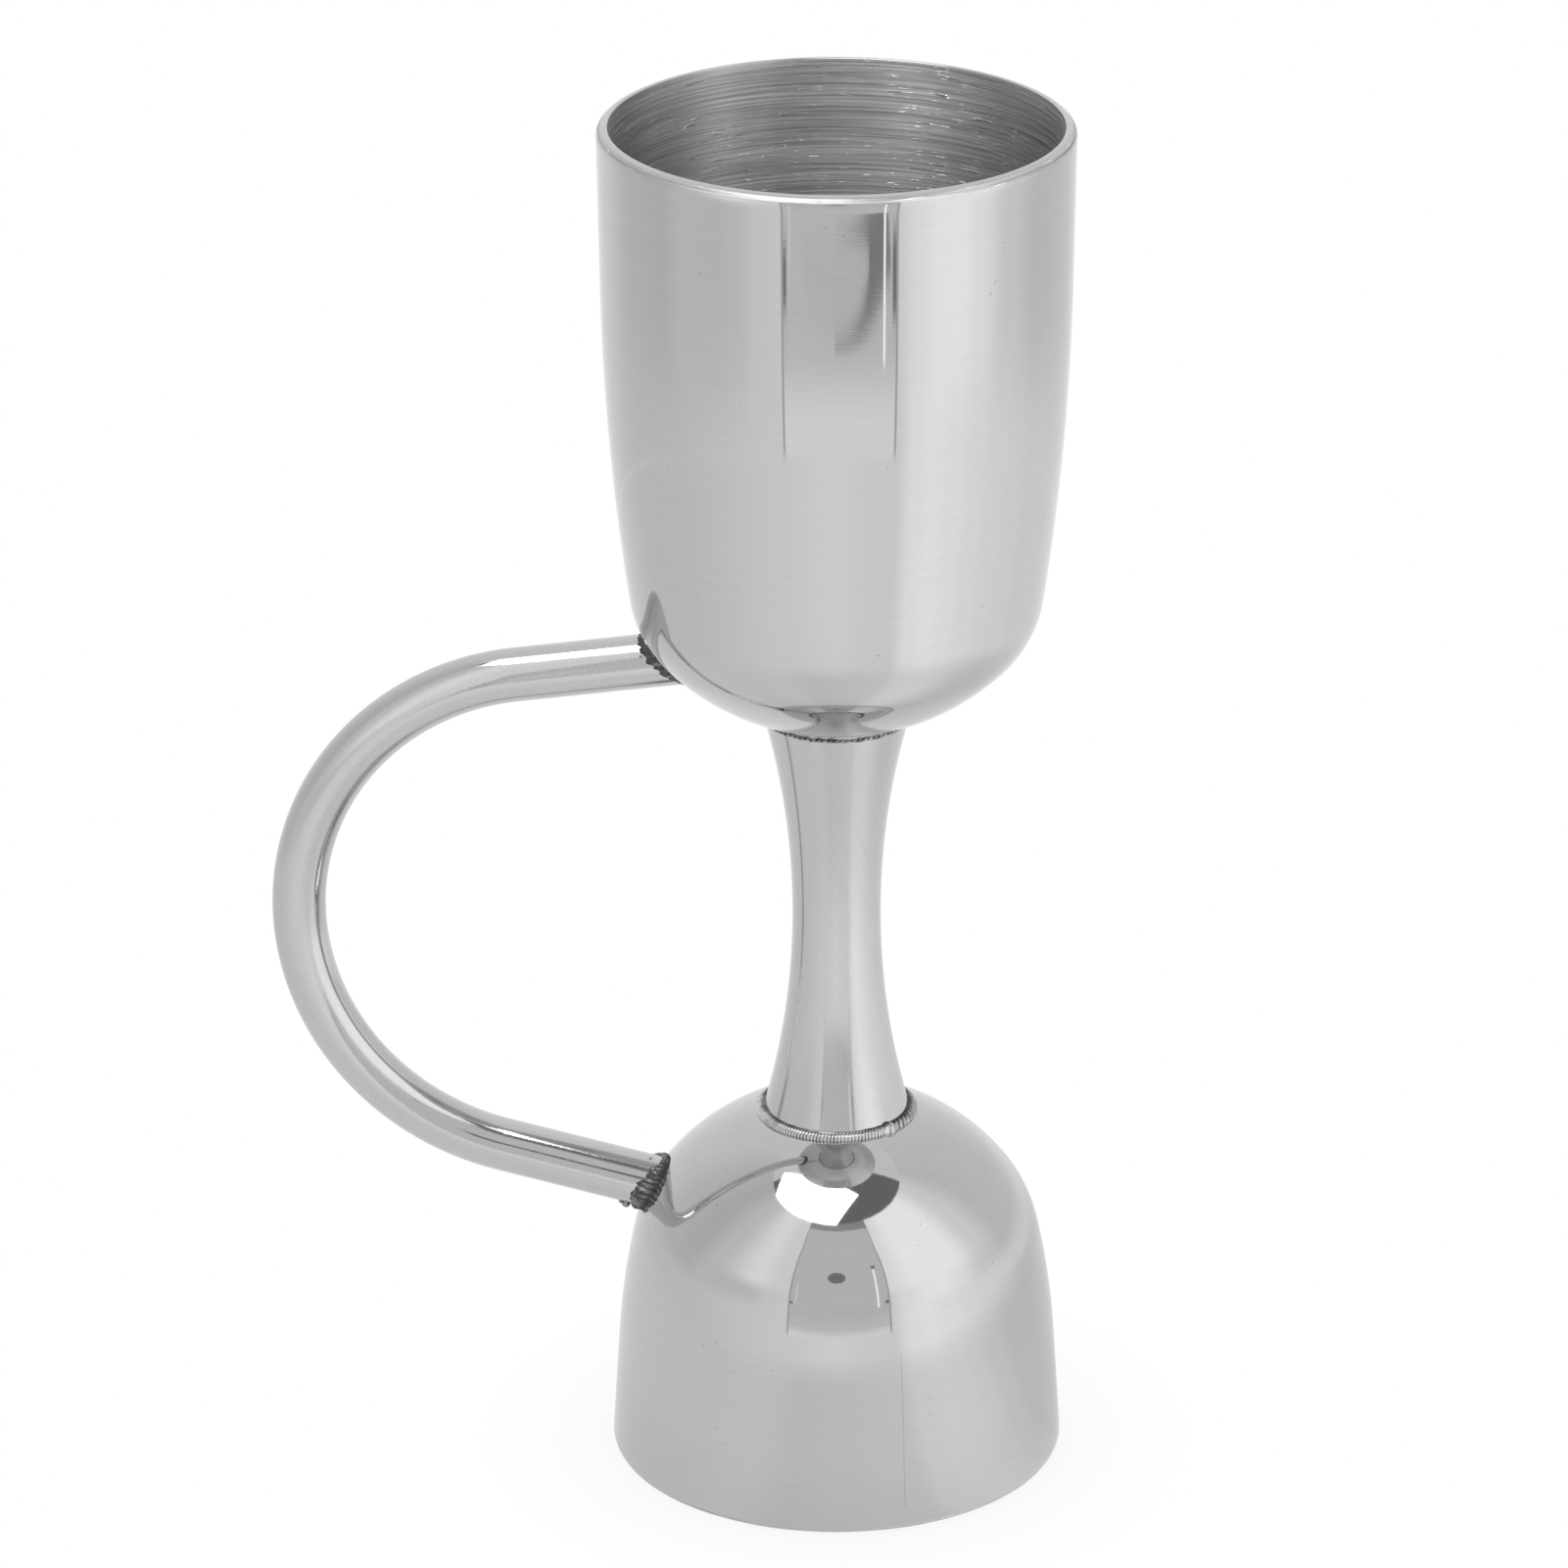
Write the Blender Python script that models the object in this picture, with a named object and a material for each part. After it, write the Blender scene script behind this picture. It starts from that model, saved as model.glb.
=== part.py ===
"""Bar jigger: two stainless steel measuring cups on a waisted stem, with a bent rod handle.

The small cup stands on its rim at z = 0 with its mouth down, the large cup is on top with
its mouth up, and the handle reaches out along -X. Sizes below are in millimetres.
"""
import math

import bmesh
import bpy
from mathutils import Matrix, Vector

MM = 0.001

# Both cups are turned shells. From the rim to the bottom the outside is a straight taper, a
# slow barrel arc, a corner arc and a ball-shaped bottom, each one tangent to the last. The
# angles are those of the wall to the axis.
LARGE_CUP = {
    "rim_radius": 21.45,
    "wall": 1.05,
    "taper_degrees": 0.8,
    "taper_length": 14.5,
    "barrel_radius": 236.0,
    "barrel_length": 30.1,
    "corner_radius": 10.0,
    "corner_end_degrees": 43.7,
}
SMALL_CUP = {
    "rim_radius": 21.3,
    "wall": 1.05,
    "taper_degrees": 3.7,
    "taper_length": 10.9,
    "barrel_radius": 70.0,
    "barrel_length": 10.9,
    "corner_radius": 13.4,
    "corner_end_degrees": 37.7,
}
LIP_FILLET = 0.3  # rounding of each edge of a rim

# Stem, a drawn tube that is waisted halfway between the two cup bottoms.
CUP_SPACING = 37.8  # from the top of the small cup's bottom to the large cup's bottom
STEM_WAIST_RADIUS = 4.1
STEM_CURVE_RADIUS = 74.0
STEM_WALL = 1.0

# Handle, one round rod: two arms that close in on each other outwards, and one bend.
ROD_DIAMETER = 5.0
HANDLE_REACH = 52.9  # from the cups' axis to the outside of the bend
UPPER_ARM_DEGREES = 8.3
LOWER_ARM_DEGREES = 13.1
UPPER_ARM_AIM = 7.8  # where an arm's centre line would meet the axis, inside its cup's bottom
LOWER_ARM_AIM = 13.7
ARM_START = 3.0  # distance from the axis where an arm starts before its cup trims it

# Welds
WELD_THICKNESS = 1.0  # weld metal between an arm's end and its cup
ARM_WELD_OVERHANG = 0.7  # how far an arm's weld stands out round the rod
STEM_WELD_OVERHANG = 1.1  # how far the bead at the stem's foot stands out round it
NECK_WELD_OVERHANG = 0.15  # the same for the thin bead at the stem's top

GAP = 0.3  # clearance between neighbouring pieces

CUP_SEGMENTS = 48
STEM_SEGMENTS = 32
ROD_SEGMENTS = 20
BEND_STEPS = 22
ARC_STEPS = {"lip": 3, "barrel": 5, "corner": 5, "bottom": 7, "stem": 12, "bead": 5}


def arc(centre, radius, start, end, steps):
    """Points on an arc in a profile plane, with the angle of the outward normal at each."""
    angles = [start + (end - start) * i / steps for i in range(steps + 1)]
    return [
        (centre[0] + radius * math.cos(a), centre[1] + radius * math.sin(a), a)
        for a in angles
    ]


def cup_arcs(cup):
    """The barrel, corner and bottom arcs of a cup's outside: centre, radius, start, end."""
    taper = math.radians(cup["taper_degrees"])
    r = cup["rim_radius"] - cup["taper_length"] * math.tan(taper)
    depth = cup["taper_length"]
    radius = cup["barrel_radius"]
    turn = math.asin(math.sin(taper) + cup["barrel_length"] / radius)
    centre = (r - radius * math.cos(taper), depth - radius * math.sin(taper))
    barrel = (centre, radius, taper, turn)
    radius = cup["corner_radius"] - radius
    centre = (centre[0] - radius * math.cos(turn), centre[1] - radius * math.sin(turn))
    end = math.radians(cup["corner_end_degrees"])
    corner = (centre, cup["corner_radius"], turn, end)
    growth = centre[0] / math.cos(end)
    centre = (0.0, centre[1] - growth * math.sin(end))
    bottom = (centre, cup["corner_radius"] + growth, end, math.pi / 2)
    return barrel, corner, bottom


def cup_outside(cup, stand_off=0.0):
    """A cup's outside as (radius, depth below the rim), rim first, moved out by stand_off."""
    points = [(cup["rim_radius"], 0.0, math.radians(cup["taper_degrees"]))]
    for shape, name in zip(cup_arcs(cup), ("barrel", "corner", "bottom")):
        points += arc(*shape, ARC_STEPS[name])[name != "barrel" :]
    moved = [(r + stand_off * math.cos(a), d + stand_off * math.sin(a)) for r, d, a in points]
    return moved[:-1] + [(0.0, moved[-1][1])]


def cup_depth(cup):
    return cup_outside(cup)[-1][1]


def cup_lip(cup):
    """The rounded rim, from the outer wall across the flat to the inner wall."""
    taper = math.radians(cup["taper_degrees"])
    inner_radius = cup["rim_radius"] - cup["wall"] / math.cos(taper)
    outer_centre = cup["rim_radius"] - LIP_FILLET * (1 + math.sin(taper)) / math.cos(taper)
    inner_centre = inner_radius + LIP_FILLET * (1 - math.sin(taper)) / math.cos(taper)
    quarter = -math.pi / 2
    outer = arc((outer_centre, LIP_FILLET), LIP_FILLET, taper, quarter, ARC_STEPS["lip"])
    inner = arc(
        (inner_centre, LIP_FILLET), LIP_FILLET, quarter, taper - math.pi, ARC_STEPS["lip"]
    )
    return [point[:2] for point in outer + inner]


def cup_shell(cup):
    """The whole section of a cup, from the middle of its outside to that of its inside."""
    outside = cup_outside(cup)
    inside = cup_outside(cup, -cup["wall"])
    return outside[:0:-1] + cup_lip(cup) + inside[1:]


SMALL_BOTTOM_Z = cup_depth(SMALL_CUP)
LARGE_BOTTOM_Z = SMALL_BOTTOM_Z + CUP_SPACING
TOTAL_HEIGHT = LARGE_BOTTOM_Z + cup_depth(LARGE_CUP)
WIDEST_RADIUS = max(LARGE_CUP["rim_radius"], SMALL_CUP["rim_radius"])
AXIS_X = (HANDLE_REACH - WIDEST_RADIUS) / 2  # puts the origin under the middle of the object
STEM_MIDDLE_Z = SMALL_BOTTOM_Z + CUP_SPACING / 2


def small_cup_z(points):
    return [(r, depth) for r, depth in points]


def large_cup_z(points):
    return [(r, TOTAL_HEIGHT - depth) for r, depth in points]


def stem_radius(z, inwards=0.0):
    """The stem's radius at a height, on a surface that lies this far inside its outside."""
    drop = math.sqrt(STEM_CURVE_RADIUS**2 - (z - STEM_MIDDLE_Z) ** 2)
    return STEM_WAIST_RADIUS + STEM_CURVE_RADIUS - drop - inwards


def bottom_fall(cup, radius, stand_off):
    """How far a surface at a stand-off from a cup's bottom lies past its middle, at a radius."""
    ball = cup_arcs(cup)[-1][1]
    return ball - math.sqrt((ball + stand_off) ** 2 - radius**2)


def make_material(name, colour, roughness):
    material = bpy.data.materials.new(name)
    material.use_nodes = True
    shader = material.node_tree.nodes["Principled BSDF"]
    shader.inputs["Base Color"].default_value = (*colour, 1.0)
    shader.inputs["Roughness"].default_value = roughness
    shader.inputs["Metallic"].default_value = 1.0
    return material


def link(name, mesh, material):
    mesh.shade_smooth()
    mesh.set_sharp_from_angle(angle=math.radians(35))
    mesh.materials.append(material)
    piece = bpy.data.objects.new(name, mesh)
    bpy.context.scene.collection.objects.link(piece)
    return piece


def turned(name, section, segments, material, closed=False):
    """A piece turned about the cups' axis from a section of (radius, height) points."""
    mesh = bpy.data.meshes.new(name)
    bm = bmesh.new()
    verts = [bm.verts.new((r * MM, 0.0, z * MM)) for r, z in section]
    ends = verts[1:] + verts[:1] if closed else verts[1:]
    edges = [bm.edges.new(pair) for pair in zip(verts, ends)]
    bmesh.ops.spin(
        bm,
        geom=verts + edges,
        cent=(0, 0, 0),
        axis=(0, 0, 1),
        angle=math.tau,
        steps=segments,
        use_merge=True,
    )
    bmesh.ops.remove_doubles(bm, verts=bm.verts, dist=1e-7)
    bmesh.ops.recalc_face_normals(bm, faces=bm.faces)
    bm.to_mesh(mesh)
    bm.free()
    piece = link(name, mesh, material)
    piece.location.x = AXIS_X * MM
    return piece


def cup_cutter(name, cup, place, stand_off):
    """A solid of a cup's outside, grown by stand_off, that trims what is welded to the cup."""
    section = place([(0.0, 0.0)] + cup_outside(cup, stand_off))
    cutter = turned(name, section, CUP_SEGMENTS, STEEL)
    cutter.hide_render = True
    cutter.display_type = "WIRE"
    return cutter


def add_boolean(piece, operation, cutter):
    modifier = piece.modifiers.new(cutter.name, "BOOLEAN")
    modifier.operation = operation
    modifier.solver = "EXACT"
    modifier.object = cutter


def bend_of(upper_aim, lower_aim):
    """Centre height and radius of the bend that is tangent to both arms and has the reach."""
    upper = math.radians(UPPER_ARM_DEGREES)
    lower = math.radians(LOWER_ARM_DEGREES)
    reach = HANDLE_REACH - ROD_DIAMETER / 2
    closing = math.tan(upper) + math.tan(lower)
    spread = 1 / math.cos(upper) + 1 / math.cos(lower) - closing
    radius = (upper_aim - lower_aim - closing * reach) / spread
    centre_z = lower_aim + math.tan(lower) * (reach - radius) + radius / math.cos(lower)
    return reach - radius, centre_z, radius


UPPER_AIM_Z = LARGE_BOTTOM_Z + UPPER_ARM_AIM
LOWER_AIM_Z = SMALL_BOTTOM_Z - LOWER_ARM_AIM
BEND_REACH, BEND_Z, BEND_RADIUS = bend_of(UPPER_AIM_Z, LOWER_AIM_Z)


def arm_start(aim_z, slope):
    """Where an arm starts near the axis, and the direction in which it leaves."""
    outwards = Vector((-math.cos(slope), 0.0, math.sin(slope)))
    start = Vector((0.0, 0.0, aim_z)) + outwards * ARM_START / math.cos(slope)
    return start * MM, outwards


def rod_disc(bm, start, outwards, radius):
    """The round end face of a rod, square to its direction."""
    half_step = Matrix.Rotation(math.pi / ROD_SEGMENTS, 4, "Z")
    turn = outwards.to_track_quat("Z", "Y").to_matrix().to_4x4() @ half_step
    made = bmesh.ops.create_circle(
        bm,
        cap_ends=True,
        segments=ROD_SEGMENTS,
        radius=radius * MM,
        matrix=Matrix.Translation(start) @ turn,
    )
    return made["verts"][0].link_faces[0]


def push(bm, face, travel):
    """Extrudes an end face of a rod by a vector and returns the new end face."""
    made = bmesh.ops.extrude_face_region(bm, geom=[face])["geom"]
    verts = [item for item in made if isinstance(item, bmesh.types.BMVert)]
    bmesh.ops.translate(bm, verts=verts, vec=travel)
    return next(item for item in made if isinstance(item, bmesh.types.BMFace))


def make_handle():
    upper_slope = -math.radians(UPPER_ARM_DEGREES)
    lower_slope = math.radians(LOWER_ARM_DEGREES)
    upper_start, upper_way = arm_start(UPPER_AIM_Z, upper_slope)
    lower_start, lower_way = arm_start(LOWER_AIM_Z, lower_slope)
    centre = Vector((-BEND_REACH, 0.0, BEND_Z)) * MM
    bm = bmesh.new()
    face = rod_disc(bm, upper_start, upper_way, ROD_DIAMETER / 2)
    arm_end = push(bm, face, upper_way * (centre - upper_start).dot(upper_way))
    bend = bmesh.ops.spin(
        bm,
        geom=[arm_end, *arm_end.edges, *arm_end.verts],
        cent=centre,
        axis=(0, -1, 0),
        angle=math.pi + upper_slope - lower_slope,
        steps=BEND_STEPS,
    )["geom_last"]
    bend_end = next(item for item in bend if isinstance(item, bmesh.types.BMFace))
    push(bm, bend_end, -lower_way * (centre - lower_start).dot(lower_way))
    bmesh.ops.delete(bm, geom=[bend_end], context="FACES_ONLY")
    bmesh.ops.remove_doubles(bm, verts=bm.verts, dist=1e-7)
    bmesh.ops.recalc_face_normals(bm, faces=bm.faces)
    mesh = bpy.data.meshes.new("handle")
    bm.to_mesh(mesh)
    bm.free()
    handle = link("handle", mesh, BRIGHT_STEEL)
    handle.location.x = AXIS_X * MM
    return handle


def make_arm_weld(name, aim_z, slope, outer_cutter, inner_cutter):
    """Weld metal round an arm's end, between two surfaces that follow the cup."""
    start, outwards = arm_start(aim_z, slope)
    bm = bmesh.new()
    face = rod_disc(bm, start, outwards, ROD_DIAMETER / 2 + ARM_WELD_OVERHANG)
    push(bm, face, outwards * BEND_REACH * MM)
    bmesh.ops.recalc_face_normals(bm, faces=bm.faces)
    mesh = bpy.data.meshes.new(name)
    bm.to_mesh(mesh)
    bm.free()
    weld = link(name, mesh, WELD_METAL)
    weld.location.x = AXIS_X * MM
    add_boolean(weld, "INTERSECT", outer_cutter)
    add_boolean(weld, "DIFFERENCE", inner_cutter)
    return weld


def make_stem():
    foot_z = SMALL_BOTTOM_Z + GAP
    top_z = LARGE_BOTTOM_Z - GAP
    steps = ARC_STEPS["stem"]
    heights = [foot_z + (top_z - foot_z) * i / steps for i in range(steps + 1)]
    outside = [(stem_radius(z), z) for z in heights]
    bore = [(stem_radius(z, STEM_WALL), z) for z in reversed(heights)]
    return turned("stem_tube", outside + bore, STEM_SEGMENTS, SATIN_STEEL, closed=True)


def make_stem_weld(name, cup, bottom_z, side, overhang):
    """A ring of weld between the stem's end and a cup's bottom; side is +1 above the cup."""
    seat_z = bottom_z + side * GAP
    inner = stem_radius(seat_z, STEM_WALL)
    outer = stem_radius(seat_z) + overhang
    cup_side = [
        (inner, bottom_z - side * bottom_fall(cup, inner, GAP)),
        (outer, bottom_z - side * bottom_fall(cup, outer, GAP)),
    ]
    crown_z = bottom_z
    shoulder = (stem_radius(seat_z), crown_z)
    low = cup_side[1]
    bead = []
    for i in range(1, ARC_STEPS["bead"]):
        t = i / ARC_STEPS["bead"] * math.pi / 2
        r = shoulder[0] + (low[0] - shoulder[0]) * math.cos(t)
        bead.append((r, low[1] + (crown_z - low[1]) * math.sin(t)))
    section = cup_side + bead + [shoulder, (inner, crown_z)]
    return turned(name, section, STEM_SEGMENTS, WELD_METAL, closed=True)


for item in list(bpy.data.objects):
    bpy.data.objects.remove(item, do_unlink=True)

STEEL = make_material("brushed_stainless", (0.62, 0.62, 0.62), 0.22)
BRIGHT_STEEL = make_material("polished_stainless", (0.66, 0.66, 0.66), 0.12)
SATIN_STEEL = make_material("satin_stainless", (0.58, 0.58, 0.58), 0.32)
WELD_METAL = make_material("weld_metal", (0.34, 0.33, 0.32), 0.45)

turned("small_cup", small_cup_z(cup_shell(SMALL_CUP)), CUP_SEGMENTS, STEEL)
turned("large_cup", large_cup_z(cup_shell(LARGE_CUP)), CUP_SEGMENTS, STEEL)
make_stem()
make_stem_weld("stem_foot_weld", SMALL_CUP, SMALL_BOTTOM_Z, 1, STEM_WELD_OVERHANG)
make_stem_weld("stem_top_weld", LARGE_CUP, LARGE_BOTTOM_Z, -1, NECK_WELD_OVERHANG)

handle_piece = make_handle()
for label, shape, place_z, weld_aim, weld_slope in (
    ("upper", LARGE_CUP, large_cup_z, UPPER_AIM_Z, -math.radians(UPPER_ARM_DEGREES)),
    ("lower", SMALL_CUP, small_cup_z, LOWER_AIM_Z, math.radians(LOWER_ARM_DEGREES)),
):
    seat = cup_cutter(label + "_seat_cutter", shape, place_z, GAP)
    crown = cup_cutter(label + "_crown_cutter", shape, place_z, GAP + WELD_THICKNESS)
    trim = cup_cutter(label + "_trim_cutter", shape, place_z, 2 * GAP + WELD_THICKNESS)
    make_arm_weld(f"handle_{label}_weld", weld_aim, weld_slope, crown, seat)
    add_boolean(handle_piece, "DIFFERENCE", trim)
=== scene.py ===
import math
import bpy
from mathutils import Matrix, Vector, noise


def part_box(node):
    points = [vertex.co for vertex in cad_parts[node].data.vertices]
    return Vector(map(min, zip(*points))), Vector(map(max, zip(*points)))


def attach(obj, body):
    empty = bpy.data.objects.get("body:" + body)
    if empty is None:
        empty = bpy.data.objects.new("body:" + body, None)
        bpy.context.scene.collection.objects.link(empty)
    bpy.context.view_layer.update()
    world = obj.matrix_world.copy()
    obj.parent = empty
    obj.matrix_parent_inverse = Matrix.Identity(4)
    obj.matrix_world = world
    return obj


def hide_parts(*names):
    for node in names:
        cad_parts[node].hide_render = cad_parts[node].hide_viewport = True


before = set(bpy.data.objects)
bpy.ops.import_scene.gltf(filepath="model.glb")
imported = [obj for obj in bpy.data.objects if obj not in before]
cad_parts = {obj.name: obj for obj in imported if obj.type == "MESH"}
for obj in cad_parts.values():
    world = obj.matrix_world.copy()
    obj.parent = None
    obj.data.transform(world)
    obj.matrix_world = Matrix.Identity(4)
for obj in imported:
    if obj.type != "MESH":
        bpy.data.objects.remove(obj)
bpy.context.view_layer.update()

scene = bpy.context.scene
smallLow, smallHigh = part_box("small_cup")
largeLow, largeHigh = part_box("large_cup")
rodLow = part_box("handle")[0]
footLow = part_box("stem_foot_weld")[0]
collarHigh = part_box("stem_top_weld")[1]
axisX = (largeLow.x + largeHigh.x) / 2  # the cups and the stem are turned about this upright line
mm = 0.001
studioTurn = 5.07  # degrees: the camera and the tent's slit face the object from a little to its right
turn = math.radians(studioTurn)
noiseRange = (0.3, 0.7)  # where nearly all of a noise's values lie


# small helpers

def deselectAll():
    if bpy.context.mode != "OBJECT":
        bpy.ops.object.mode_set(mode="OBJECT")
    bpy.ops.object.select_all(action="DESELECT")


def makeActive(piece):
    deselectAll()
    piece.select_set(True)
    bpy.context.view_layer.objects.active = piece


def named(name):
    # the primitive just added, with its place moved into its mesh
    piece = bpy.context.object
    piece.name = name
    piece.data.name = name
    bpy.ops.object.transform_apply(location=True, rotation=True, scale=True)
    return piece


def editWith(selectType, action="SELECT"):
    bpy.ops.object.mode_set(mode="EDIT")
    bpy.ops.mesh.select_mode(type=selectType)
    bpy.ops.mesh.select_all(action=action)


def applyModifier(piece, kind, **values):
    makeActive(piece)
    modifier = piece.modifiers.new(kind.lower(), kind)
    for name, value in values.items():
        setattr(modifier, name, value)
    bpy.ops.object.modifier_apply(modifier=modifier.name)


def thicken(piece, wall):
    # a wall on the inner side of a surface, closed round its edge
    applyModifier(piece, "SOLIDIFY", thickness=wall, offset=-1, use_even_offset=True, use_rim=True)


def smooth(piece, angle):
    makeActive(piece)
    bpy.ops.object.shade_smooth_by_angle(angle=math.radians(angle))


def dress(piece, node, slot, *materials):
    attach(piece, "root")
    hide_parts(node)
    piece.data.materials.clear()
    for material in materials:
        piece.data.materials.append(material)


# material helpers

def addNode(tree, kind, inputs=None, **settings):
    made = tree.nodes.new(kind)
    for name, value in settings.items():
        setattr(made, name, value)
    for socket, value in (inputs or {}).items():
        if isinstance(value, bpy.types.NodeSocket):
            tree.links.new(value, made.inputs[socket])
        else:
            made.inputs[socket].default_value = value
    return made


def maths(tree, operation, first, second=0.0):
    return addNode(tree, "ShaderNodeMath", {0: first, 1: second}, operation=operation).outputs[0]


def vectorMaths(tree, operation, first, second=(0, 0, 0), output="Vector"):
    return addNode(tree, "ShaderNodeVectorMath", {0: first, 1: second}, operation=operation).outputs[output]


def scaled(tree, vector, scale):
    return addNode(tree, "ShaderNodeVectorMath", {0: vector, "Scale": scale}, operation="SCALE").outputs[0]


def mapped(tree, value, fromLow, fromHigh, toLow, toHigh, kind="LINEAR"):
    inputs = {0: value, 1: fromLow, 2: fromHigh, 3: toLow, 4: toHigh}
    return addNode(tree, "ShaderNodeMapRange", inputs, interpolation_type=kind, clamp=True).outputs[0]


def spread(tree, noiseValue, low, high):
    return mapped(tree, noiseValue, *noiseRange, low, high)


def noiseAt(tree, vector, detail):
    inputs = {"Vector": vector, "Scale": 1.0, "Detail": detail}
    return addNode(tree, "ShaderNodeTexNoise", inputs).outputs[0]


def grainAt(tree, place, size, detail):
    return noiseAt(tree, scaled(tree, place, 1 / size), detail)


def colourOf(grey):
    return (grey, grey, grey, 1)


def colourMix(tree, factor, first, second):
    return addNode(tree, "ShaderNodeMix", {0: factor, 6: first, 7: second}, data_type="RGBA").outputs[2]


def greyMix(tree, factor, first, second):
    return colourMix(tree, factor, colourOf(first), colourOf(second))


def swungGrey(tree, noiseValue, settings):
    # the metal's grey, a little darker and lighter with a noise
    grey, swing = settings["grey"], settings["greySwing"]
    return greyMix(tree, spread(tree, noiseValue, 0, 1), grey - swing, grey + swing)


def greyRamp(tree, turnShare, stops, strength):
    # stops are (degrees from -180 to 180, value), and the colours are the values over the strength
    ramp = addNode(tree, "ShaderNodeValToRGB", {0: turnShare})
    ramp.color_ramp.interpolation = "EASE"
    while len(ramp.color_ramp.elements) < len(stops):
        ramp.color_ramp.elements.new(0.5)
    for element, (degrees, value) in zip(ramp.color_ramp.elements, stops):
        element.position = (degrees + 180) / 360
        element.color = colourOf(value / strength)
    return ramp.outputs[0]


def newSteel(name, settings):
    material = bpy.data.materials.new(name)
    material.use_nodes = True
    shader = material.node_tree.nodes["Principled BSDF"]
    shader.inputs["Metallic"].default_value = 1.0
    shader.inputs["Base Color"].default_value = colourOf(settings["grey"])
    shader.inputs["Roughness"].default_value = settings["roughness"]
    shader.inputs["Anisotropic"].default_value = settings.get("anisotropic", 0.0)
    return material, material.node_tree, shader


def axisPlace(tree):
    # a point's place from the axis, its unit vector away from the axis, and its height
    place = addNode(tree, "ShaderNodeTexCoord").outputs["Object"]
    place = vectorMaths(tree, "SUBTRACT", place, (axisX, 0, 0))
    flat = vectorMaths(tree, "MULTIPLY", place, (1, 1, 0))
    away = vectorMaths(tree, "NORMALIZE", flat)
    height = addNode(tree, "ShaderNodeSeparateXYZ", {0: place}).outputs[2]
    return place, away, height


def ringLines(tree, away, height, spacing, reach, detail=2.0):
    # lines that run round the axis: spacing is their pitch, reach how often they break on the way round
    up = addNode(tree, "ShaderNodeCombineXYZ", {2: maths(tree, "MULTIPLY", height, 1 / spacing)}).outputs[0]
    return noiseAt(tree, vectorMaths(tree, "ADD", scaled(tree, away, reach), up), detail)


def bumpFrom(tree, height, distance, under=None):
    inputs = {"Height": height, "Strength": 1.0, "Distance": distance}
    if under is not None:
        inputs["Normal"] = under
    return addNode(tree, "ShaderNodeBump", inputs).outputs[0]


def turnedBy(tree, vector, angle):
    # turned about the upright axis
    inputs = {"Vector": vector, "Angle": angle}
    return addNode(tree, "ShaderNodeVectorRotate", inputs, rotation_type="Z_AXIS").outputs[0]


def upright(tree, shader):
    # brushed round the axis, so reflections are drawn out up and down
    tree.links.new(addNode(tree, "ShaderNodeCombineXYZ", {2: 1.0}).outputs[0], shader.inputs["Tangent"])


def arc(centre, radius, start, end, steps):
    # points on an arc, each with the angle of its outward normal
    angles = [start + (end - start) * i / steps for i in range(steps + 1)]
    return [(centre[0] + radius * math.cos(a), centre[1] + radius * math.sin(a), a) for a in angles]


def turnedShell(name, profile, segments, closeEnd):
    # a circle pulled along the axis ring by ring: each ring is extruded, then scaled
    deselectAll()
    radius, z = profile[0]
    bpy.ops.mesh.primitive_circle_add(vertices=segments, radius=radius, location=(axisX, 0, z))
    piece = named(name)
    editWith("VERT")
    for nextRadius, nextZ in profile[1:]:
        bpy.ops.mesh.extrude_edges_move(TRANSFORM_OT_translate={"value": (0, 0, nextZ - z)})
        scale = nextRadius / radius
        bpy.ops.transform.resize(value=(scale, scale, 1), center_override=(axisX, 0, nextZ))
        radius, z = nextRadius, nextZ
    if closeEnd:
        bpy.ops.mesh.merge(type="CENTER")
    bpy.ops.mesh.select_all(action="SELECT")
    bpy.ops.mesh.normals_make_consistent(inside=False)
    bpy.ops.object.mode_set(mode="OBJECT")
    face = piece.data.polygons[0]
    if face.normal.dot(face.center - Vector((axisX, 0, face.center.z))) < 0:
        piece.data.flip_normals()
    return piece


# cups
cupSettings = {
    "segments": 224,
    "wall": 1.05 * mm,
    "outerLip": 0.86 * mm,  # the rim is rounded mostly on its outer side
    "innerLip": 0.12 * mm,
    "lipSegments": 8,
    "taperSteps": 10,
    "barrelSteps": 18,
    "cornerSteps": 16,
    "bottomSteps": 20,
    "tip": 0.02 * mm,  # radius of the last ring, which closes on the axis
    "level": 0.02 * mm,  # an edge is on the rim's plane within this
    "round": 0.01 * mm,  # and runs round the rim when its ends' radii agree within this
    "facing": 0.3,  # how far a face looks inward or to the mouth to count as inside
    "nearAxis": 0.1 * mm,  # a face this near the axis looks neither in nor out
    "smoothAngle": 50,
}
largeShape = {
    "taper": 0.8,
    "taperLength": 14.5 * mm,
    "barrelRadius": 236 * mm,
    "barrelLength": 30.1 * mm,
    "cornerRadius": 10 * mm,
    "cornerEnd": 43.7,
}
smallShape = {
    "taper": 3.7,
    "taperLength": 10.9 * mm,
    "barrelRadius": 70 * mm,
    "barrelLength": 10.9 * mm,
    "cornerRadius": 13.4 * mm,
    "cornerEnd": 37.7,
}
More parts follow.
